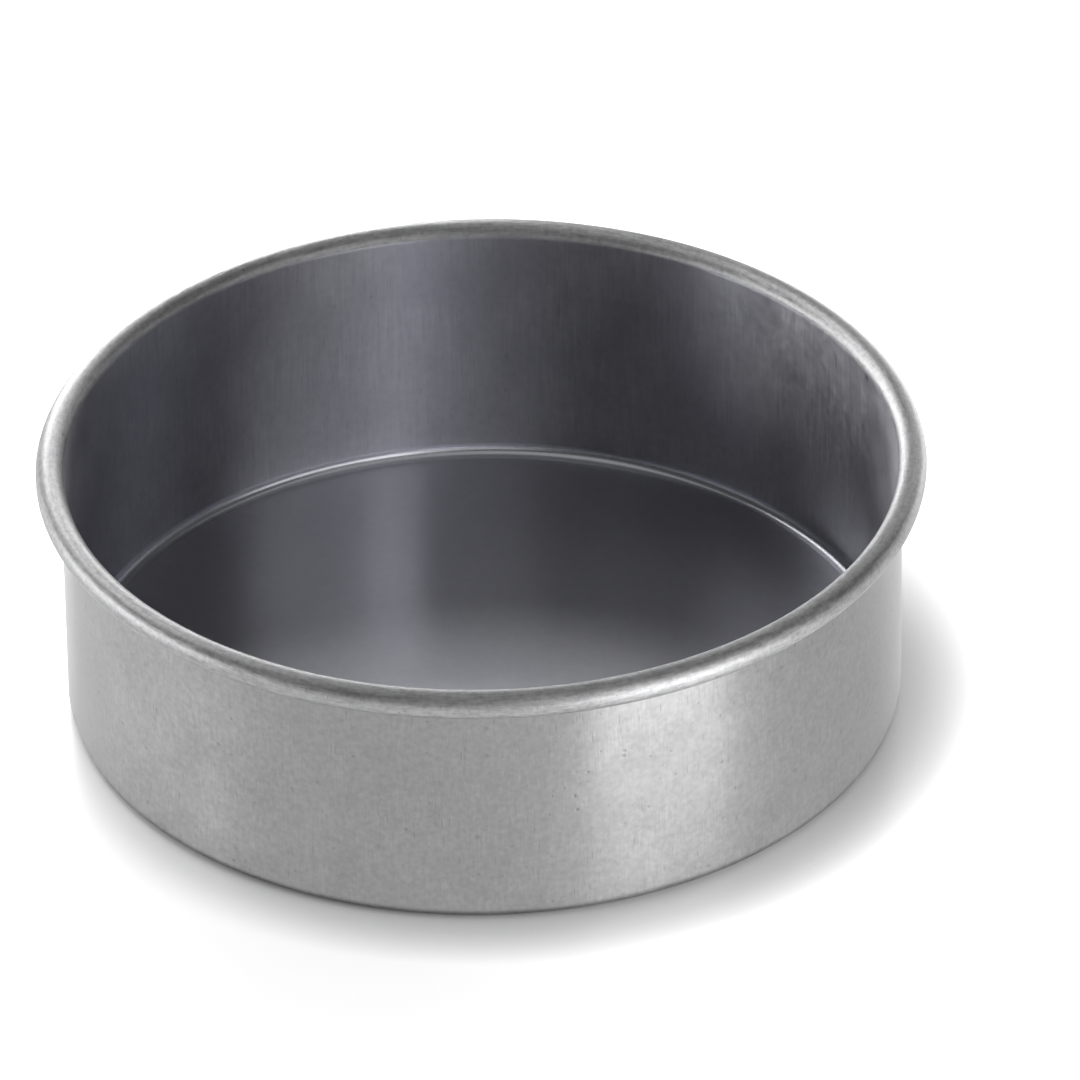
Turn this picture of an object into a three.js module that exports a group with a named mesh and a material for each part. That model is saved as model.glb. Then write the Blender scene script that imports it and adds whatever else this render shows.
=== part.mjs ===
// Deep dish pizza pan: a straight-sided round pan drawn from one steel sheet, with a flat base,
// and its rim curled outward round a ring of stiffening wire.
// Millimetres, +Z up, origin at the centre of the underside.
import * as THREE from "three";

// Driving dimensions of the pan
const insideDiameter = 152.4; // wall to wall across the baking space
const overallHeight = 50.8; // underside of the base to the top of the rim
const sheetThickness = 0.7;
const insideCornerRadius = 2.0; // where the wall turns into the floor

// Driving dimensions of the wired rim
const wireDiameter = 3.4;
const wireClearance = 0.2; // between the wire and the sheet curled round it
const wireEndGap = 1.0; // between the two butted ends of the wire
const curlEdgeGap = 0.3; // between the cut edge of the curl and the wall

// Facets
const turnSteps = 96; // round the pan
const cornerSteps = 5; // round the corner between wall and base
const curlSteps = 20; // round the curl, along the sheet
const wireSides = 12;

// Sizes that follow from the driving dimensions
const insideRadius = insideDiameter / 2;
const outsideRadius = insideRadius + sheetThickness;
const outsideCornerRadius = insideCornerRadius + sheetThickness;
const wireRadius = wireDiameter / 2;
const curlInsideRadius = wireRadius + wireClearance;
const curlOutsideRadius = curlInsideRadius + sheetThickness;
const curlCentreRadius = insideRadius + curlOutsideRadius; // from the pan's axis to the middle of the wire
const curlCentreHeight = overallHeight - curlOutsideRadius;

// Angles in the section, counted from straight out, positive upward
const wallAngle = Math.PI; // where the wall runs into the curl
const edgeAngle = -Math.acos((sheetThickness + curlEdgeGap) / curlOutsideRadius - 1); // where the sheet is cut

// Points along an arc of the section, both ends included.
function arcPoints(centreX, centreY, radius, startAngle, endAngle, steps) {
  const clockwise = endAngle < startAngle;
  const arc = new THREE.EllipseCurve(centreX, centreY, radius, radius, startAngle, endAngle, clockwise);
  return arc.getPoints(steps);
}

// Half section of the drawn sheet, from the axis along the outer face, round the cut edge and back inside.
function panSection() {
  const outsideCorner = arcPoints(
    outsideRadius - outsideCornerRadius,
    outsideCornerRadius,
    outsideCornerRadius,
    -Math.PI / 2,
    0,
    cornerSteps,
  );
  const curlHollow = arcPoints(
    curlCentreRadius,
    curlCentreHeight,
    curlInsideRadius,
    wallAngle,
    edgeAngle,
    curlSteps,
  );
  const curlCrown = arcPoints(
    curlCentreRadius,
    curlCentreHeight,
    curlOutsideRadius,
    edgeAngle,
    wallAngle,
    curlSteps,
  );
  const insideCorner = arcPoints(
    insideRadius - insideCornerRadius,
    sheetThickness + insideCornerRadius,
    insideCornerRadius,
    0,
    -Math.PI / 2,
    cornerSteps,
  );
  const undersideCentre = new THREE.Vector2(0, 0);
  const floorCentre = new THREE.Vector2(0, sheetThickness);
  return [undersideCentre, ...outsideCorner, ...curlHollow, ...curlCrown, ...insideCorner, floorCentre];
}

// The drawn pan with its curled rim, turned about the vertical axis.
function makePanBody() {
  const geometry = new THREE.LatheGeometry(panSection(), turnSteps);
  geometry.rotateX(Math.PI / 2);
  const aluminisedSteel = new THREE.MeshStandardMaterial({
    color: 0xa3a6ab,
    metalness: 1,
    roughness: 0.36,
  });
  const mesh = new THREE.Mesh(geometry, aluminisedSteel);
  mesh.name = "pan_body";
  return mesh;
}

// Centre line of the wire: a circle inside the curl, open by the gap between the wire's ends at the back.
class WirePath extends THREE.Curve {
  getPoint(share) {
    const gapAngle = wireEndGap / curlCentreRadius;
    const angle = (Math.PI + gapAngle) / 2 + share * (2 * Math.PI - gapAngle);
    const x = curlCentreRadius * Math.cos(angle);
    const y = curlCentreRadius * Math.sin(angle);
    return new THREE.Vector3(x, y, curlCentreHeight);
  }
}

// The stiffening wire, a round bar rolled into a ring.
function makeRimWire() {
  const section = new THREE.Shape();
  section.absarc(0, 0, wireRadius, 0, 2 * Math.PI);
  const geometry = new THREE.ExtrudeGeometry(section, {
    extrudePath: new WirePath(),
    steps: turnSteps,
    curveSegments: wireSides / 2,
  });
  const mildSteel = new THREE.MeshStandardMaterial({
    color: 0x75777a,
    metalness: 1,
    roughness: 0.5,
  });
  const mesh = new THREE.Mesh(geometry, mildSteel);
  mesh.name = "rim_wire";
  return mesh;
}

const pan = new THREE.Group();
pan.add(makePanBody(), makeRimWire());
export default pan;
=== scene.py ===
"""A deep dish pizza pan: one drawn sheet of steel with its edge curled round a ring of wire.

The outside is bare satin metal that keeps the marks of drawing. The inside has a smoother
finish, which looks darker because it mirrors itself. Lengths are in metres, and depths of
surface marks in millimetres.
"""

import logging
import math
from dataclasses import dataclass, field, replace
from enum import Enum
from typing import Callable, ClassVar

import bpy
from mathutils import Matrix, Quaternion, Vector


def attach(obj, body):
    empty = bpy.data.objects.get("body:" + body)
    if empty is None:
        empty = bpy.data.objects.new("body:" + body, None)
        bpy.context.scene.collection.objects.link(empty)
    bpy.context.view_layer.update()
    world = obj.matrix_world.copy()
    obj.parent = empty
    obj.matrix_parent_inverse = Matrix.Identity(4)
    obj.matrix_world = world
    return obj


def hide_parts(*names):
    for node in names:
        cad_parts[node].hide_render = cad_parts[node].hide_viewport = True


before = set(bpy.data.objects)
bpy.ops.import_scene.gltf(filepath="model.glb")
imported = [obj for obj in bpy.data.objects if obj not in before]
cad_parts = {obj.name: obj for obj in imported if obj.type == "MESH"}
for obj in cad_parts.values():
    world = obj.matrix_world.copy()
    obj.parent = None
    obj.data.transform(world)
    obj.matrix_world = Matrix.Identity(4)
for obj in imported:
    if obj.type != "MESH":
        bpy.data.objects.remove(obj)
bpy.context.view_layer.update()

MM = 0.001
FULL_TURN = 2 * math.pi
QUARTER_TURN = math.pi / 2
ORIGIN = Vector((0, 0, 0))
UP = Vector((0, 0, 1))
BACKWARD = Vector((0, 1, 0))
MERGE_DISTANCE = 0.001 * MM
BODY = "root"

Colour = tuple[float, float, float]
Direction = tuple[float, float, float]
Turn = tuple[float, float, float]
Term = tuple[object, object]
log = logging.getLogger("pan")


class SheetSide(Enum):
    """Stretches of the sheet with a finish of their own; the value is the material slot."""

    OUTSIDE = 0
    INSIDE_WALL = 1
    INSIDE_CORNER = 2
    INSIDE_FLOOR = 3
    BEAD = 4
    CUT_EDGE = 5


class Lay(Enum):
    """Which way the fine lines of a bare metal surface run."""

    UPRIGHT = "up the wall, as the sheet was drawn"
    ROUND = "along the bead, as the edge was rolled"


@dataclass(frozen=True)
class PanSizes:
    """Sizes of the pan's section, shared by the sheet and the wire."""

    inside_radius: float = 76.2 * MM
    height: float = 50.8 * MM
    sheet: float = 0.7 * MM
    corner_radius: float = 2.0 * MM
    wire_radius: float = 1.7 * MM
    wire_clearance: float = 0.2 * MM
    wire_end_gap: float = 1.0 * MM
    edge_gap: float = 0.3 * MM

    @property
    def curl_radius(self) -> float:
        """Outer radius of the curled bead in section."""
        return self.wire_radius + self.wire_clearance + self.sheet

    @property
    def curl_centre(self) -> Vector:
        """Middle of the bead's section, on the +X side of the pan."""
        return Vector((self.inside_radius + self.curl_radius, 0.0, self.height - self.curl_radius))

    @property
    def edge_angle(self) -> float:
        """Angle in section where the sheet is cut, from straight out, positive upward."""
        return -math.acos((self.sheet + self.edge_gap) / self.curl_radius - 1)


# Modelling by hand


def deselect_all() -> None:
    """Leaves no object selected, so that an operator acts on the new piece alone."""
    bpy.ops.object.select_all(action="DESELECT")


def begin_edit() -> None:
    """Opens the active piece in edit mode."""
    bpy.ops.object.mode_set(mode="EDIT")


def end_edit() -> None:
    """Goes back to object mode."""
    bpy.ops.object.mode_set(mode="OBJECT")


def begin_outline(name: str, start: Vector) -> bpy.types.Object:
    """Adds a small plane and merges it to one vertex, the start of an outline, left in edit mode.

    Args:
        name: name of the new piece.
        start: where the outline begins.

    Returns:
        The new object.
    """
    deselect_all()
    bpy.ops.mesh.primitive_plane_add(size=MM, location=start)
    piece = bpy.context.object
    piece.name = name
    begin_edit()
    bpy.ops.mesh.select_all(action="SELECT")
    bpy.ops.mesh.merge(type="CENTER")
    return piece


def sweep(centre: Vector, axis: Vector, angle: float, steps: int) -> None:
    """Spins what is selected round an axis, by the right-hand rule.

    Args:
        centre: a point on the axis.
        axis: direction of the axis.
        angle: how far to turn.
        steps: how many facets the turn has.
    """
    bpy.ops.mesh.spin(steps=steps, angle=-angle, center=centre, axis=axis, use_auto_merge=True)


def run_straight(travel: Vector, steps: int) -> None:
    """Extrudes what is selected in a straight line.

    Args:
        travel: the whole way that the extrusion goes.
        steps: how many equal extrusions make it.
    """
    for _ in range(steps):
        bpy.ops.mesh.extrude_region_move(TRANSFORM_OT_translate={"value": travel / steps})


def close_spun_shape(facing_in: bool) -> None:
    """Merges the doubles of a spun shape and turns all its faces one way.

    Args:
        facing_in: turns them towards the hollow of an open bowl, and not away from it.
    """
    bpy.ops.mesh.select_all(action="SELECT")
    bpy.ops.mesh.remove_doubles(threshold=MERGE_DISTANCE)
    bpy.ops.mesh.normals_make_consistent(inside=facing_in)


def apply_modifier(piece: bpy.types.Object, kind: str, **settings: object) -> None:
    """Adds a modifier and applies it at once.

    Args:
        piece: the active object.
        kind: the modifier's type.
        settings: its properties.
    """
    modifier = piece.modifiers.new(kind.title(), kind)
    for name, value in settings.items():
        setattr(modifier, name, value)
    bpy.ops.object.modifier_apply(modifier=modifier.name)


def settle(piece: bpy.types.Object, sharp_angle: float) -> None:
    """Puts the piece's place into its mesh and smooths its shading.

    Args:
        piece: the active object.
        sharp_angle: edges that turn more than this stay crisp.
    """
    bpy.ops.object.transform_apply(location=True, rotation=True, scale=True)
    bpy.ops.object.shade_smooth_by_angle(angle=sharp_angle)
    piece.data.name = piece.name


def give_slot(piece: bpy.types.Object, slot: int, wanted: Callable[[Vector], bool]) -> None:
    """Assigns a material slot to the faces whose middle is wanted.

    Args:
        piece: the active object, in object mode.
        slot: index of the material slot.
        wanted: says of a face's middle whether the slot is for it.
    """
    begin_edit()
    bpy.ops.mesh.select_mode(type="FACE")
    bpy.ops.mesh.select_all(action="DESELECT")
    end_edit()
    for face in piece.data.polygons:
        face.select = wanted(face.center)
    begin_edit()
    piece.active_material_index = slot
    bpy.ops.object.material_slot_assign()
    end_edit()


# Shader nodes


class NodeSheet:
    """A node tree with short calls that add nodes and wire them."""

    # Where a Mix node keeps its colour sockets.
    MIX_FIRST: ClassVar[int] = 6
    MIX_SECOND: ClassVar[int] = 7
    MIX_RESULT: ClassVar[int] = 2

    def __init__(self, tree: bpy.types.NodeTree) -> None:
        """Starts from an empty tree.

        Args:
            tree: the tree of a material, a world or a node group.
        """
        self.tree = tree
        tree.nodes.clear()

    def feed(self, socket: bpy.types.NodeSocket, value: object) -> None:
        """Links a socket to another one, or sets its own value.

        Args:
            socket: the input to feed.
            value: an output socket, or a plain value.
        """
        if isinstance(value, bpy.types.NodeSocket):
            self.tree.links.new(value, socket)
        else:
            socket.default_value = value

    def add(self, kind: str, inputs: dict | None = None, **settings: object) -> bpy.types.Node:
        """Adds a node.

        Args:
            kind: the node's type name.
            inputs: values or sockets for its inputs, by name or index.
            settings: its properties.

        Returns:
            The new node.
        """
        node = self.tree.nodes.new(kind)
        for name, value in settings.items():
            setattr(node, name, value)
        for socket, value in (inputs or {}).items():
            self.feed(node.inputs[socket], value)
        return node

    def math(self, operation: str, first: object, second: object = 0.0) -> bpy.types.NodeSocket:
        """Adds a Math node.

        Args:
            operation: what it does.
            first: first number or socket.
            second: second number or socket.

        Returns:
            Its output.
        """
        return self.add("ShaderNodeMath", {0: first, 1: second}, operation=operation).outputs[0]

    def total(self, terms: list[Term], start: float = 0.0) -> object:
        """Adds up weighted values, leaving out those that weigh nothing.

        Args:
            terms: pairs of a socket and its weight, a number or another socket.
            start: a constant to begin with.

        Returns:
            The sum, which is the plain constant where nothing is added to it.
        """
        result: object = start
        for value, weight in terms:
            if weight != 0.0:
                inputs = {0: value, 1: weight, 2: result}
                result = self.add("ShaderNodeMath", inputs, operation="MULTIPLY_ADD").outputs[0]
        return result

    def vector(self, operation: str, first: object, second: object) -> bpy.types.NodeSocket:
        """Adds a Vector Math node and returns its vector output."""
        return self.add("ShaderNodeVectorMath", {0: first, 1: second}, operation=operation).outputs[0]

    def spread(
        self, value: object, low: object, high: object, smooth: bool = False
    ) -> bpy.types.NodeSocket:
        """Stretches a range of values over 0 to 1.

        Args:
            value: the socket to stretch.
            low: what becomes 0.
            high: what becomes 1.
            smooth: eases both ends.

        Returns:
            The stretched value, held between 0 and 1.
        """
        kind = "SMOOTHSTEP" if smooth else "LINEAR"
        inputs = {"Value": value, "From Min": low, "From Max": high}
        return self.add("ShaderNodeMapRange", inputs, interpolation_type=kind).outputs[0]

    def noise(
        self, place: object, scale: object, detail: float, **more: object
    ) -> bpy.types.NodeSocket:
        """Adds a Noise Texture.

        Args:
            place: where it is read.
            scale: features per metre.
            detail: how many finer layers it has.
            more: its W input, where the noise has four dimensions.

        Returns:
            Its value, about one half on average.
        """
        inputs = {"Vector": place, "Scale": scale, "Detail": detail, **more}
        dimensions = "4D" if "W" in more else "3D"
        return self.add("ShaderNodeTexNoise", inputs, noise_dimensions=dimensions).outputs[0]

    def mix(self, share: object, first: Colour, second: Colour) -> bpy.types.NodeSocket:
        """Mixes two colours.

        Args:
            share: how much of the second colour.
            first: a colour.
            second: another colour.

        Returns:
            The mixed colour.
        """
        colours = {self.MIX_FIRST: (*first, 1.0), self.MIX_SECOND: (*second, 1.0)}
        node = self.add("ShaderNodeMix", {"Factor": share, **colours}, data_type="RGBA")
        return node.outputs[self.MIX_RESULT]

    def group(self, tree: bpy.types.NodeTree, **inputs: object) -> bpy.types.Node:
        """Places a node group.

        Args:
            tree: the group.
            inputs: values for its inputs, with underscores for spaces.

        Returns:
            The group node.
        """
        node = self.add("ShaderNodeGroup", node_tree=tree)
        for name, value in inputs.items():
            self.feed(node.inputs[name.replace("_", " ")], value)
        return node


class MarkGroup(NodeSheet):
    """A node group that turns a place on the surface into the strength of some mark."""

    def __init__(self, name: str, sizes: dict[str, float], outputs: list[str]) -> None:
        """Makes the group with its sockets.

        Args:
            name: the group's name.
            sizes: its number inputs and their defaults, beside the place.
            outputs: its number outputs.
        """
        super().__init__(bpy.data.node_groups.new(name, "ShaderNodeTree"))
        sockets = self.tree.interface
        sockets.new_socket("Place", in_out="INPUT", socket_type="NodeSocketVector")
        for size, default in sizes.items():
            socket = sockets.new_socket(size, in_out="INPUT", socket_type="NodeSocketFloat")
            socket.default_value = default
        for output in outputs:
            sockets.new_socket(output, in_out="OUTPUT", socket_type="NodeSocketFloat")
        self.given = self.add("NodeGroupInput").outputs
        self.result = self.add("NodeGroupOutput").inputs

    def per_metre(self, size: str) -> bpy.types.NodeSocket:
        """Turns a size input into a texture scale."""
        return self.math("DIVIDE", 1.0, self.given[size])

    def upright_stretch(self) -> bpy.types.NodeSocket:
        """Gives the factor that makes marks of the Width input as tall as the Length input."""
        squeeze = self.math("DIVIDE", self.given["Width"], self.given["Length"])
        return self.add("ShaderNodeCombineXYZ", {0: 1.0, 1: 1.0, 2: squeeze}).outputs[0]


class Marks:
    """The surface marks that several finishes share, each built once as a node group."""

    # Stretches of a noise texture's values that are spread over 0 to 1.
    FINE_RANGE: ClassVar[tuple[float, float]] = (0.28, 0.72)
    BROAD_RANGE: ClassVar[tuple[float, float]] = (0.3, 0.7)
    LINE_RANGE: ClassVar[tuple[float, float]] = (0.35, 0.7)
    PATCH_RANGE: ClassVar[tuple[float, float]] = (0.3, 0.65)
    # How many finer layers each noise has.
    FINE_DETAIL: ClassVar[float] = 4.0
    PLAIN_DETAIL: ClassVar[float] = 2.0
    PATCH_DETAIL: ClassVar[float] = 1.0
    # The smallest pit's share of the Size input. The largest is one whole Size bigger.
    LEAST_PIT: ClassVar[float] = 0.3
    # Each set of scratches is turned its own way, as Euler angles.
    SCUFF_TURNS: ClassVar[tuple[Turn, ...]] = ((0.06, 0.0, 0.4), (-0.1, 0.05, 1.3), (0.6, -0.4, 2.2))
    # A scratch's width as a share of its cell, and where in the cell it fades out and is full.
    SCUFF_SHARE_OF_CELL: ClassVar[float] = 0.25
    SCUFF_EDGE: ClassVar[float] = 0.2
    SCUFF_CORE: ClassVar[float] = 0.02

    def __init__(self) -> None:
        """Builds every group."""
        self.mottle = self._mottle()
        self.upright_lines = self._upright_lines()
        self.round_lines = self._round_lines()
        self.pits = self._pits()
        self.scuffs = self._scuffs()

    def _mottle(self) -> bpy.types.NodeTree:
        """Makes cloudy patches of a fine and a broad size, as a metal coating freezes.

        Returns:
            The group.
        """
        group = MarkGroup("mottle", {"Fine Size": MM, "Broad Size": 10 * MM}, ["Fine", "Broad"])
        place = group.given["Place"]
        fine = group.noise(place, group.per_metre("Fine Size"), self.FINE_DETAIL)
        broad = group.noise(place, group.per_metre("Broad Size"), self.PLAIN_DETAIL)
        group.feed(group.result["Fine"], group.spread(fine, *self.FINE_RANGE))
        group.feed(group.result["Broad"], group.spread(broad, *self.BROAD_RANGE))
        return group.tree

    def _upright_lines(self) -> bpy.types.NodeTree:
        """Makes fine lines up the wall, stronger in some patches, as drawing through a die leaves them.

        Returns:
            The group.
        """
        group = MarkGroup("upright lines", {"Width": MM, "Length": 20 * MM}, ["Lines"])
        place = group.given["Place"]
        stretched = group.vector("MULTIPLY", place, group.upright_stretch())
        lines = group.noise(stretched, group.per_metre("Width"), self.PLAIN_DETAIL)
        patch = group.noise(place, group.per_metre("Length"), self.PATCH_DETAIL)
        strength = group.math(
            "MULTIPLY", group.spread(lines, *self.LINE_RANGE), group.spread(patch, *self.PATCH_RANGE)
        )
        group.feed(group.result["Lines"], strength)
        return group.tree

    def _round_lines(self) -> bpy.types.NodeTree:
        """Makes fine broken lines round the pan's axis, as a rolling wheel leaves them on the bead.

        Returns:
            The group.
        """
        group = MarkGroup("round lines", {"Width": MM, "Length": 20 * MM}, ["Lines"])
        place = group.given["Place"]
        flat = group.vector("MULTIPLY", place, (1.0, 1.0, 0.0))
        radius = group.add("ShaderNodeVectorMath", {0: flat}, operation="LENGTH").outputs["Value"]
        turns = group.math("DIVIDE", radius, group.given["Length"])
        spoke = group.vector("NORMALIZE", flat, (0.0, 0.0, 0.0))
        way = group.add("ShaderNodeSeparateXYZ", {0: spoke}).outputs
        height = group.add("ShaderNodeSeparateXYZ", {0: place}).outputs["Z"]
        section = group.add(
            "ShaderNodeCombineXYZ",
            {
                0: group.math("DIVIDE", radius, group.given["Width"]),
                1: group.math("DIVIDE", height, group.given["Width"]),
                2: group.math("MULTIPLY", way["X"], turns),
            },
        ).outputs[0]
        lines = group.noise(section, 1.0, self.PLAIN_DETAIL, W=group.math("MULTIPLY", way["Y"], turns))
        group.feed(group.result["Lines"], group.spread(lines, *self.LINE_RANGE))
        return group.tree

    def _pits(self) -> bpy.types.NodeTree:
        """Makes scattered small round pits of uneven size.

        Returns:
            The group.
        """
        group = MarkGroup("pits", {"Spacing": 6 * MM, "Size": 0.4 * MM, "Share": 0.4}, ["Pits"])
        cells = group.add("ShaderNodeTexVoronoi", {"Scale": group.per_metre("Spacing")})
        group.feed(cells.inputs["Vector"], group.given["Place"])
        chance = group.add("ShaderNodeSeparateColor", {0: cells.outputs["Color"]}).outputs
        reach = group.math("DIVIDE", group.given["Size"], group.given["Spacing"])
        uneven = group.math("MULTIPLY", reach, group.math("ADD", chance["Green"], self.LEAST_PIT))
        dot = group.spread(cells.outputs["Distance"], uneven, 0.0, smooth=True)
        kept = group.math("LESS_THAN", chance["Red"], group.given["Share"])
        group.feed(group.result["Pits"], group.math("MULTIPLY", dot, kept))
        return group.tree

    def _scuffs(self) -> bpy.types.NodeTree:
        """Makes short thin scratches, scattered, most of them nearly upright.

        Returns:
            The group.
        """
        sizes = {"Length": 2.5 * MM, "Width": 0.2 * MM, "Share": 0.4}
        group = MarkGroup("scuffs", sizes, ["Scuffs"])
        stretch = group.upright_stretch()
        scale = group.math("DIVIDE", self.SCUFF_SHARE_OF_CELL, group.given["Width"])
        result: object = 0.0
        for turn in self.SCUFF_TURNS:
            turned = group.add("ShaderNodeVectorRotate", rotation_type="EULER_XYZ")
            group.feed(turned.inputs["Vector"], group.given["Place"])
            group.feed(turned.inputs["Rotation"], turn)
            stretched = group.vector("MULTIPLY", turned.outputs[0], stretch)
            cells = group.add("ShaderNodeTexVoronoi", {"Vector": stretched, "Scale": scale})
            chance = group.add("ShaderNodeSeparateColor", {0: cells.outputs["Color"]}).outputs
            stroke = group.spread(cells.outputs["Distance"], self.SCUFF_EDGE, self.SCUFF_CORE, smooth=True)
            kept = group.math("LESS_THAN", chance["Red"], group.given["Share"])
            result = group.math("MAXIMUM", result, group.math("MULTIPLY", stroke, kept))
        group.feed(group.result["Scuffs"], result)
        return group.tree


# Finishes


@dataclass(frozen=True)
class MetalFinish:
    """A metal surface with cloudy patches, fine lines, small pits and scratches.

    The smear is how far reflections stretch up and down the wall; 0 spreads them evenly.
    The edge tone dims glancing reflections; 1 leaves them as they are. A share is how many of
    the pits or scratches are there, and each kind of mark weighs on depth and tone by its own
    number; 0 leaves it out. Depths are in millimetres and all other lengths in metres.
    """

    # What patches, lines and scratches add up to on average.
    USUAL_MARKS: ClassVar[float] = 1.5
    # A quarter turn of the shader's tangent, so that reflections stretch up and down.
    SMEAR_TURN: ClassVar[float] = 0.25
    # The tone where no mark adds to it, between the dark and the light one.
    LEAST_TONE: ClassVar[float] = 0.1
    # How much the broad patches lighten the tone, and how much a pit darkens it.
    BROAD_TONE: ClassVar[float] = 0.2
    PIT_TONE: ClassVar[float] = 0.6

    name: str
    lay: Lay
    dark_tone: Colour
    light_tone: Colour
    roughness: float
    smear: float = 0.0
    edge_tone: float = 1.0
    roughness_spread: float = 0.05
    fine_size: float = 1.0 * MM
    fine_tone: float = 0.4
    broad_size: float = 14 * MM
    mottle_depth: float = 0.002
    line_width: float = 0.5 * MM
    line_length: float = 14 * MM
    line_depth: float = 0.002
    line_tone: float = 0.2
    pit_spacing: float = 6 * MM
    pit_size: float = 0.4 * MM
    pit_depth: float = 0.02
    pit_share: float = 0.4
    scuff_length: float = 2.5 * MM
    scuff_depth: float = 0.003
    scuff_tone: float = 0.4
    scuff_share: float = 0.4

    def material(self, marks: Marks) -> bpy.types.Material:
        """Builds the material.

        Args:
            marks: the shared node groups.

        Returns:
            The new material.
        """
        material = bpy.data.materials.new(self.name)
        material.use_nodes = True
        nodes = NodeSheet(material.node_tree)
        place = nodes.add("ShaderNodeTexCoord").outputs["Object"]
        patches = {"Fine_Size": self.fine_size, "Broad_Size": self.broad_size}
        mottle = nodes.group(marks.mottle, Place=place, **patches).outputs
        spread = self.roughness_spread
        rough: list[Term] = [(mottle["Broad"], spread), (mottle["Fine"], spread)]
        height: list[Term] = [(mottle["Fine"], self.mottle_depth)]
        tone: list[Term] = [(mottle["Broad"], self.BROAD_TONE), (mottle["Fine"], self.fine_tone)]
        if self.line_depth or self.line_tone:
            tree = marks.upright_lines if self.lay is Lay.UPRIGHT else marks.round_lines
            strokes = {"Width": self.line_width, "Length": self.line_length}
            lines = nodes.group(tree, Place=place, **strokes).outputs["Lines"]
            rough.append((lines, spread))
            height.append((lines, self.line_depth))
            tone.append((lines, self.line_tone))
        if self.pit_share:
            dots = {"Spacing": self.pit_spacing, "Size": self.pit_size, "Share": self.pit_share}
            pits = nodes.group(marks.pits, Place=place, **dots).outputs["Pits"]
            height.append((pits, -self.pit_depth))
            tone.append((pits, -self.PIT_TONE))
        if self.scuff_share:
            scratches = {"Length": self.scuff_length, "Share": self.scuff_share}
            scuffs = nodes.group(marks.scuffs, Place=place, **scratches).outputs["Scuffs"]
            rough.append((scuffs, spread))
            height.append((scuffs, -self.scuff_depth))
            tone.append((scuffs, -self.scuff_tone))
        bump = nodes.add("ShaderNodeBump", {"Height": nodes.total(height), "Distance": MM, "Strength": 1.0})
        shade = nodes.total(tone, self.LEAST_TONE)
        least_roughness = self.roughness - self.USUAL_MARKS * spread
        shader = nodes.add(
            "ShaderNodeBsdfPrincipled",
            {
                "Base Color": nodes.mix(shade, self.dark_tone, self.light_tone),
                "Metallic": 1.0,
                "Roughness": nodes.total(rough, least_roughness),
                "Specular Tint": (self.edge_tone, self.edge_tone, self.edge_tone, 1.0),
                "Anisotropic": self.smear,
                "Anisotropic Rotation": self.SMEAR_TURN,
                "Normal": bump.outputs[0],
            },
        )
        nodes.add("ShaderNodeOutputMaterial", {"Surface": shader.outputs[0]})
        return material


@dataclass(frozen=True)
class StudioFloor:
    """A satin white floor. Part of its white is a glow that metal mirrors too and the pan shades.

    The shade falls away from where most light comes from. Metal mirrors no glow from under
    the pan: a painted shade beneath its foot.
    """

    name: str = "white floor"
    tone: Colour = (0.68, 0.68, 0.68)
    roughness: float = 0.3
    ior: float = 1.9
    glow: float = 0.67
    light_from: Direction = (-0.55, 0.4, 0.73)
    shade_samples: int = 8
    shade_reach: float = 14 * MM
    shade_depth: float = 2.2
    foot_radius: float = 76 * MM
    foot_fade: float = 3 * MM

    def material(self) -> bpy.types.Material:
        """Builds the material.

        Returns:
            The new material.
        """
        material = bpy.data.materials.new(self.name)
        material.use_nodes = True
        nodes = NodeSheet(material.node_tree)
        ray = nodes.add("ShaderNodeLightPath").outputs
        way = nodes.add("ShaderNodeCombineXYZ", dict(enumerate(self.light_from))).outputs[0]
        reach = {"Distance": self.shade_reach, "Normal": way}
        sky = nodes.add("ShaderNodeAmbientOcclusion", reach, samples=self.shade_samples)
        shade = nodes.math("POWER", sky.outputs["AO"], self.shade_depth)
        place = nodes.add("ShaderNodeTexCoord").outputs["Object"]
        radius = nodes.add("ShaderNodeVectorMath", {0: place}, operation="LENGTH").outputs["Value"]
        # Painted shade: the glow that metal mirrors fades out over the pan's foot, so that its lower edge
        # mirrors a dark floor.
        clear = nodes.spread(radius, self.foot_radius, self.foot_radius + self.foot_fade, smooth=True)
        mirrored = nodes.math("MAXIMUM", ray["Is Glossy Ray"], ray["Is Transmission Ray"])
        seen = nodes.total([(ray["Is Camera Ray"], shade), (mirrored, clear)])
        shader = nodes.add(
            "ShaderNodeBsdfPrincipled",
            {
                "Base Color": (*self.tone, 1.0),
                "Roughness": self.roughness,
                "IOR": self.ior,
                "Emission Color": (1.0, 1.0, 1.0, 1.0),
                "Emission Strength": nodes.math("MULTIPLY", seen, self.glow),
            },
        )
        nodes.add("ShaderNodeOutputMaterial", {"Surface": shader.outputs[0]})
        return material


# The pan


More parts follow.
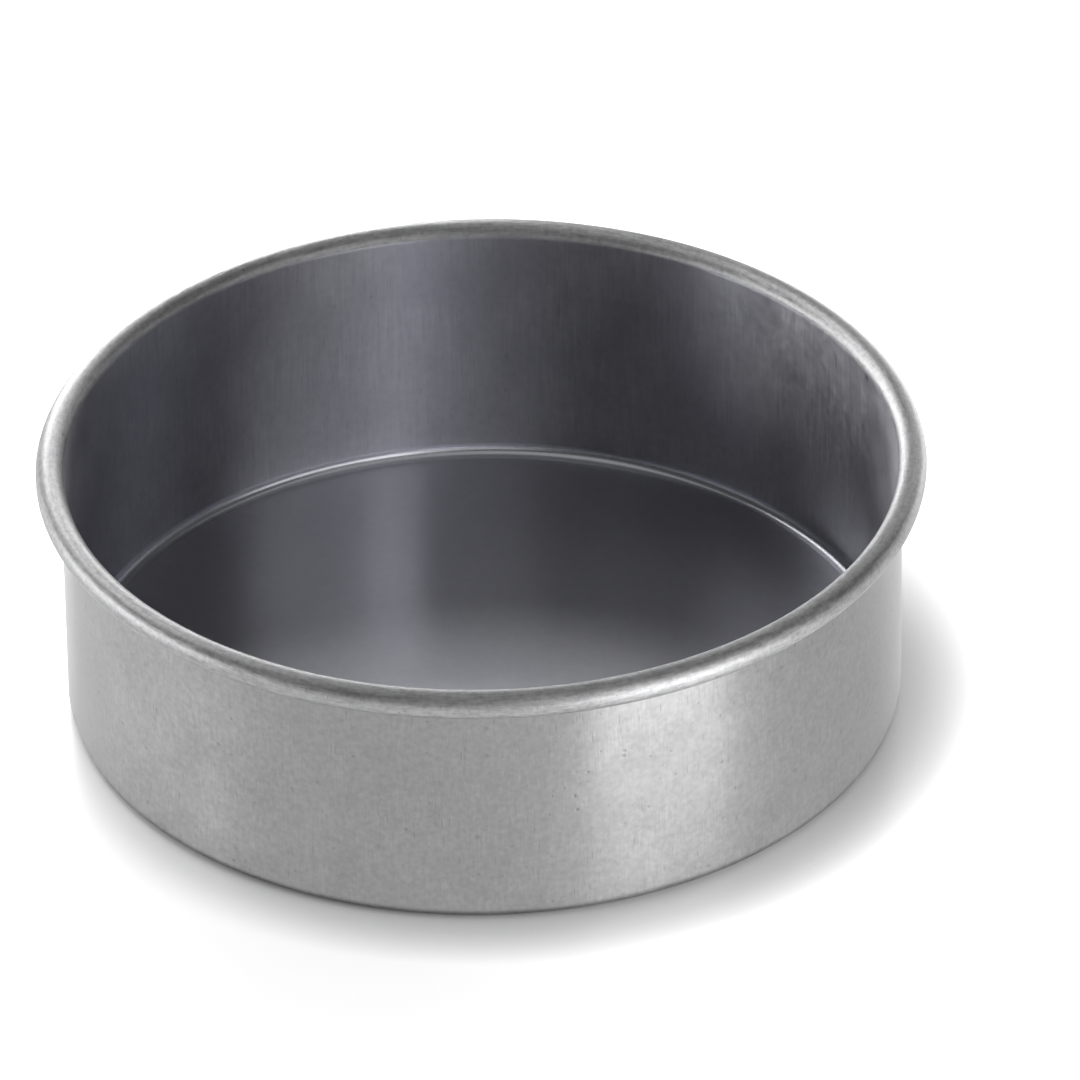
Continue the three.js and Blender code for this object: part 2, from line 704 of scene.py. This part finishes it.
@dataclass
class PanShell:
    """The drawn sheet: flat base, straight wall, and the edge curled outward over the wire."""

    sizes: PanSizes
    name: str = "pan_shell"
    curl_steps: int = 44
    wall_steps: int = 14
    corner_steps: int = 8
    floor_steps: int = 16
    turn_steps: int = 288
    wave_size: float = 30 * MM
    wave_depth: float = 0.05 * MM
    bare_bend: float = math.radians(165)
    sharp_angle: float = math.radians(40)
    piece: bpy.types.Object | None = field(default=None, init=False)

    def build(self) -> bpy.types.Object:
        """Models the sheet's visible face as a turned outline and gives it the sheet's thickness.

        Returns:
            The finished piece, not yet dressed.
        """
        sizes = self.sizes
        centre = sizes.curl_centre
        edge = Vector((math.cos(sizes.edge_angle), 0.0, math.sin(sizes.edge_angle)))
        self.piece = begin_outline(self.name, centre + edge * sizes.curl_radius)
        sweep(centre, -BACKWARD, math.pi - sizes.edge_angle, self.curl_steps)
        corner_height = sizes.sheet + sizes.corner_radius
        run_straight(Vector((0, 0, corner_height - centre.z)), self.wall_steps)
        flat_radius = sizes.inside_radius - sizes.corner_radius
        sweep(Vector((flat_radius, 0, corner_height)), BACKWARD, QUARTER_TURN, self.corner_steps)
        run_straight(Vector((-flat_radius, 0, 0)), self.floor_steps)
        bpy.ops.mesh.select_all(action="SELECT")
        sweep(ORIGIN, UP, FULL_TURN, self.turn_steps)
        close_spun_shape(facing_in=True)
        end_edit()
        settle(self.piece, self.sharp_angle)
        self._add_waves()
        apply_modifier(
            self.piece,
            "SOLIDIFY",
            thickness=sizes.sheet,
            offset=-1,
            use_even_offset=True,
            use_quality_normals=True,
        )
        bpy.ops.object.shade_smooth_by_angle(angle=self.sharp_angle)
        return self.piece

    def _add_waves(self) -> None:
        """Gives the sheet the slight unevenness of a pressing."""
        waves = bpy.data.textures.new("sheet waves", "CLOUDS")
        waves.noise_scale = self.wave_size
        apply_modifier(
            self.piece,
            "DISPLACE",
            texture=waves,
            texture_coords="LOCAL",
            mid_level=0.5,
            strength=2 * self.wave_depth,
        )

    def _side(self, middle: Vector) -> SheetSide:
        """Finds which stretch of the sheet a face is on, by where it is in the pan's section.

        Args:
            middle: the face's middle.

        Returns:
            The stretch.
        """
        sizes = self.sizes
        half = sizes.sheet / 2
        radius = math.hypot(middle.x, middle.y)
        bead_out = radius - sizes.curl_centre.x
        bead_up = middle.z - sizes.curl_centre.z
        bead_depth = sizes.curl_radius - math.hypot(bead_out, bead_up)
        bead_angle = math.atan2(bead_up, bead_out)
        at_edge = abs(bead_angle - sizes.edge_angle) < half / sizes.curl_radius
        if at_edge and abs(bead_depth - half) < half / 2:
            return SheetSide.CUT_EDGE
        if abs(bead_depth) < half / 2 and sizes.edge_angle < bead_angle < self.bare_bend:
            return SheetSide.BEAD
        corner_out = radius - (sizes.inside_radius - sizes.corner_radius)
        corner_down = sizes.sheet + sizes.corner_radius - middle.z
        in_corner = corner_out > 0 and corner_down > 0
        under_corner = in_corner and math.hypot(corner_out, corner_down) > sizes.corner_radius + half
        if under_corner or radius > sizes.inside_radius + half or middle.z < half:
            return SheetSide.OUTSIDE
        if in_corner:
            return SheetSide.INSIDE_CORNER
        return SheetSide.INSIDE_WALL if corner_down < 0 else SheetSide.INSIDE_FLOOR

    @staticmethod
    def _finishes() -> dict[SheetSide, MetalFinish]:
        """Lists the sheet's finishes.

        Returns:
            A finish for each stretch of the sheet.
        """
        release = MetalFinish(
            "release finish",
            Lay.UPRIGHT,
            (0.455, 0.46, 0.5),
            (0.535, 0.54, 0.58),
            roughness=0.27,
            roughness_spread=0.0,
            fine_size=1.6 * MM,
            broad_size=16 * MM,
            mottle_depth=0.0005,
            line_width=0.6 * MM,
            line_depth=0.0,
            line_tone=0.0,
            pit_share=0.0,
            scuff_share=0.0,
        )
        return {
            SheetSide.OUTSIDE: MetalFinish(
                "satin sheet",
                Lay.UPRIGHT,
                (0.25, 0.25, 0.252),
                (0.41, 0.41, 0.412),
                roughness=0.34,
                smear=0.72,
                edge_tone=0.85,
                fine_size=1.1 * MM,
                mottle_depth=0.007,
                line_width=0.35 * MM,
                line_length=4 * MM,
                line_depth=0.005,
                line_tone=0.28,
                pit_spacing=2.2 * MM,
                pit_size=0.5 * MM,
                pit_depth=0.045,
                scuff_depth=0.014,
            ),
            SheetSide.INSIDE_WALL: replace(
                release,
                name="release finish on the wall",
                dark_tone=(0.41, 0.41, 0.445),
                light_tone=(0.545, 0.545, 0.585),
                roughness=0.34,
                roughness_spread=0.05,
                smear=0.9,
                mottle_depth=0.002,
                line_length=10 * MM,
                line_depth=0.005,
                line_tone=0.55,
                pit_spacing=4 * MM,
                pit_size=0.5 * MM,
                pit_depth=0.03,
                pit_share=0.4,
                scuff_depth=0.005,
                scuff_tone=0.7,
                scuff_share=0.4,
            ),
            # A lighter copy of the floor's release finish. Its lighter tone is partly a painted highlight
            # that brightens the real highlight along the corner ring.
            SheetSide.INSIDE_CORNER: replace(
                release,
                name="release finish in the corner",
                dark_tone=(0.58, 0.585, 0.63),
                light_tone=(0.66, 0.665, 0.71),
            ),
            SheetSide.INSIDE_FLOOR: replace(release, name="release finish on the floor", roughness=0.34),
            SheetSide.BEAD: MetalFinish(
                "rolled bead",
                Lay.ROUND,
                (0.24, 0.24, 0.245),
                (0.48, 0.48, 0.485),
                roughness=0.5,
                fine_size=0.9 * MM,
                fine_tone=0.5,
                mottle_depth=0.009,
                line_width=0.35 * MM,
                line_length=2.5 * MM,
                line_depth=0.012,
                line_tone=0.45,
                pit_spacing=2.2 * MM,
                pit_size=0.4 * MM,
                pit_depth=0.03,
                scuff_length=1.2 * MM,
                scuff_depth=0.012,
            ),
            SheetSide.CUT_EDGE: MetalFinish(
                "sheared edge", Lay.ROUND, (0.3, 0.3, 0.31), (0.4, 0.4, 0.41), roughness=0.5
            ),
        }

    def dress(self, marks: Marks) -> None:
        """Gives each stretch of the sheet its finish and hands the piece to the frame.

        Args:
            marks: the shared node groups.
        """
        finishes = self._finishes()
        for side in SheetSide:
            self.piece.data.materials.append(finishes[side].material(marks))
            give_slot(self.piece, side.value, lambda middle: self._side(middle) is side)
        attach(self.piece, BODY)
        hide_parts("pan_body")


@dataclass
class RimWire:
    """The ring of round wire inside the bead, its two ends butted at the back of the pan."""

    sizes: PanSizes
    name: str = "stiffening_wire"
    sides: int = 24
    turn_steps: int = 216
    sharp_angle: float = math.radians(40)
    piece: bpy.types.Object | None = field(default=None, init=False)

    def build(self) -> bpy.types.Object:
        """Spins a round section nearly all the way round.

        Returns:
            The finished piece, not yet dressed.
        """
        centre = self.sizes.curl_centre
        gap_angle = self.sizes.wire_end_gap / centre.x
        start_angle = QUARTER_TURN + gap_angle / 2
        start = Vector((centre.x * math.cos(start_angle), centre.x * math.sin(start_angle), centre.z))
        deselect_all()
        bpy.ops.mesh.primitive_circle_add(
            vertices=self.sides,
            radius=self.sizes.wire_radius,
            fill_type="NGON",
            location=start,
            rotation=(QUARTER_TURN, 0, start_angle),
        )
        self.piece = bpy.context.object
        self.piece.name = self.name
        begin_edit()
        bpy.ops.mesh.select_all(action="SELECT")
        sweep(ORIGIN, UP, FULL_TURN - gap_angle, self.turn_steps)
        close_spun_shape(facing_in=False)
        end_edit()
        settle(self.piece, self.sharp_angle)
        return self.piece

    def dress(self, marks: Marks) -> None:
        """Gives the wire its finish and hands the piece to the frame.

        Args:
            marks: the shared node groups.
        """
        finish = MetalFinish("drawn wire", Lay.ROUND, (0.28, 0.28, 0.29), (0.36, 0.36, 0.37), roughness=0.45)
        self.piece.data.materials.append(finish.material(marks))
        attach(self.piece, BODY)
        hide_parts("rim_wire")


# The studio


@dataclass(frozen=True)
class Softbox:
    """A soft lamp that faces the pan; a brightness of 1 shows as white."""

    name: str
    azimuth: float
    elevation: float
    width: float
    height: float
    brightness: float
    distance: float = 1.2
    target: Vector = field(default_factory=lambda: Vector((0, 0, 25 * MM)))

    def hang(self) -> bpy.types.Object:
        """Adds the lamp.

        Returns:
            The lamp object.
        """
        azimuth, elevation = math.radians(self.azimuth), math.radians(self.elevation)
        level = math.cos(elevation)
        way = Vector((math.sin(azimuth) * level, -math.cos(azimuth) * level, math.sin(elevation)))
        lamp = bpy.data.lights.new(self.name, "AREA")
        lamp.shape = "RECTANGLE"
        lamp.size = self.width
        lamp.size_y = self.height
        lamp.energy = self.brightness * math.pi * self.width * self.height
        piece = bpy.data.objects.new(self.name, lamp)
        piece.location = self.target + way * self.distance
        piece.rotation_euler = way.to_track_quat("Z", "Y").to_euler()
        bpy.context.scene.collection.objects.link(piece)
        return piece


@dataclass
class Studio:
    """The white floor, the dim room with a pale horizon, and the lamps."""

    floor_size: float = 16.0
    floor_drop: float = 0.1 * MM
    room_tone: Colour = (0.06, 0.06, 0.06)
    horizon_tone: Colour = (0.95, 0.95, 0.95)
    horizon_low: float = 0.06
    horizon_high: float = 0.2

    def softboxes(self) -> list[Softbox]:
        """Lists the lamps, with azimuths in degrees from the camera's side towards the right.

        Returns:
            The lamps.
        """
        return [
            Softbox("key", azimuth=-138, elevation=43, width=0.5, height=0.42, brightness=3.8),
            Softbox("side", azimuth=-93, elevation=10, width=1.35, height=0.28, brightness=5.2),
            Softbox(
                "left card", azimuth=-156, elevation=19, width=0.15, height=0.07, brightness=7, distance=0.21
            ),
            Softbox(
                "card", azimuth=36.5, elevation=5, width=0.085, height=0.066, brightness=3.5, distance=0.16
            ),
            Softbox(
                "right card", azimuth=137, elevation=3, width=0.2, height=0.05, brightness=3, distance=0.22
            ),
            Softbox(
                "fill", azimuth=27, elevation=33, width=0.13, height=0.26, brightness=1.75, distance=0.5
            ),
            Softbox(
                "fill right", azimuth=54, elevation=30, width=0.28, height=0.17, brightness=1.1, distance=0.5
            ),
            Softbox(
                "front", azimuth=-2, elevation=30, width=0.2, height=0.14, brightness=0.6, distance=0.5
            ),
            Softbox("overhead", azimuth=0, elevation=90, width=1.4, height=1.4, brightness=0.34),
            Softbox("back", azimuth=180, elevation=33, width=1.2, height=0.4, brightness=0.78),
            Softbox("back strip", azimuth=170, elevation=32, width=0.08, height=0.3, brightness=1.2),
            Softbox("back right", azimuth=150, elevation=24, width=0.5, height=0.5, brightness=1.2),
        ]

    def build(self) -> None:
        """Lays the floor, fills the room with light, hangs the lamps and sets the plain view."""
        deselect_all()
        bpy.ops.mesh.primitive_plane_add(size=self.floor_size, location=(0, 0, -self.floor_drop))
        floor = bpy.context.object
        floor.name = "floor"
        floor.data.materials.append(StudioFloor().material())
        self._fill_room()
        for softbox in self.softboxes():
            softbox.hang()
        bpy.context.scene.view_settings.view_transform = "Standard"

    def _fill_room(self) -> None:
        """Makes the world: dim above, pale near the horizon."""
        world = bpy.data.worlds.new("studio room")
        world.use_nodes = True
        nodes = NodeSheet(world.node_tree)
        way = nodes.add("ShaderNodeTexCoord").outputs["Generated"]
        up = nodes.add("ShaderNodeSeparateXYZ", {0: way}).outputs["Z"]
        above = nodes.spread(up, self.horizon_low, self.horizon_high, smooth=True)
        tone = nodes.mix(above, self.horizon_tone, self.room_tone)
        light = nodes.add("ShaderNodeBackground", {"Color": tone})
        nodes.add("ShaderNodeOutputWorld", {"Surface": light.outputs[0]})
        bpy.context.scene.world = world


@dataclass
class PhotoCamera:
    """A long lens at the photograph's viewing angle, for a square frame."""

    lens: float = 400.0
    sensor: float = 36.0
    elevation: float = math.radians(34.14)
    distance: float = 2.2186
    aim: Vector = field(default_factory=lambda: Vector((10.56 * MM, 0, 30.78 * MM)))
    roll: float = math.radians(-0.85)
    nearest_share: float = 0.01
    farthest_share: float = 10.0

    def set_up(self) -> None:
        """Adds the camera and makes it the scene's own."""
        data = bpy.data.cameras.new("camera")
        data.lens = self.lens
        data.sensor_width = self.sensor
        data.clip_start = self.distance * self.nearest_share
        data.clip_end = self.distance * self.farthest_share
        camera = bpy.data.objects.new("camera", data)
        camera.location = Vector((0, -math.cos(self.elevation), math.sin(self.elevation))) * self.distance
        look = (self.aim - camera.location).to_track_quat("-Z", "Y")
        camera.rotation_euler = (look @ Quaternion((0, 0, 1), self.roll)).to_euler()
        bpy.context.scene.collection.objects.link(camera)
        bpy.context.scene.camera = camera


def main() -> None:
    """Builds the camera, the studio and the pan, and reports each piece."""
    logging.basicConfig(level=logging.INFO, format="%(name)s: %(message)s")
    PhotoCamera().set_up()
    Studio().build()
    marks = Marks()
    sizes = PanSizes()
    for assembly in (PanShell(sizes), RimWire(sizes)):
        piece = assembly.build()
        assembly.dress(marks)
        log.info("%s: %d faces", piece.name, len(piece.data.polygons))


if __name__ == "__main__":
    main()
